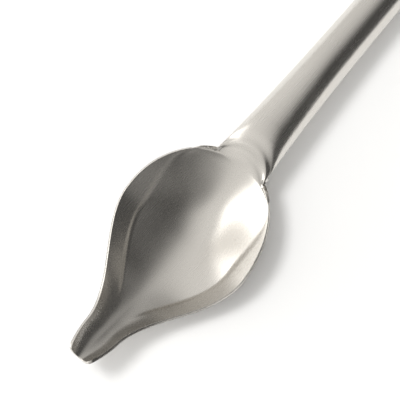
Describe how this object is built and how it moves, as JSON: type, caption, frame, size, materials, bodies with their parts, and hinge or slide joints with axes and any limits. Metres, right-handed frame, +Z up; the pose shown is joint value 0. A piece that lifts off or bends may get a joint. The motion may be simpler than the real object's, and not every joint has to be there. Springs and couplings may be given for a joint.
{
  "type": "sauce drawing spoon",
  "caption": "Steel plating spoon: a drop-shaped bowl narrows to an open pouring spout, on a round hollow handle that tapers away from the neck.",
  "frame": {"origin": "on the surface it lies on, below the centre of its bounding box", "axes": "+X from the spout towards the handle's end, +Y to the left, +Z up out of the open side of the bowl"},
  "size_m": [0.206, 0.0418, 0.0178],
  "materials": {
    "satin_steel": "polished sheet steel with a fine satin grain",
    "ground_weld": "weld metal ground flush and polished over"
  },
  "bodies": {
    "root": {"bowl_shell": "satin_steel", "under_shell": "satin_steel", "left_weld": "ground_weld", "right_weld": "ground_weld", "bowl_weld": "ground_weld", "end_cap": "satin_steel", "end_weld": "ground_weld"}
  },
  "joints": []
}
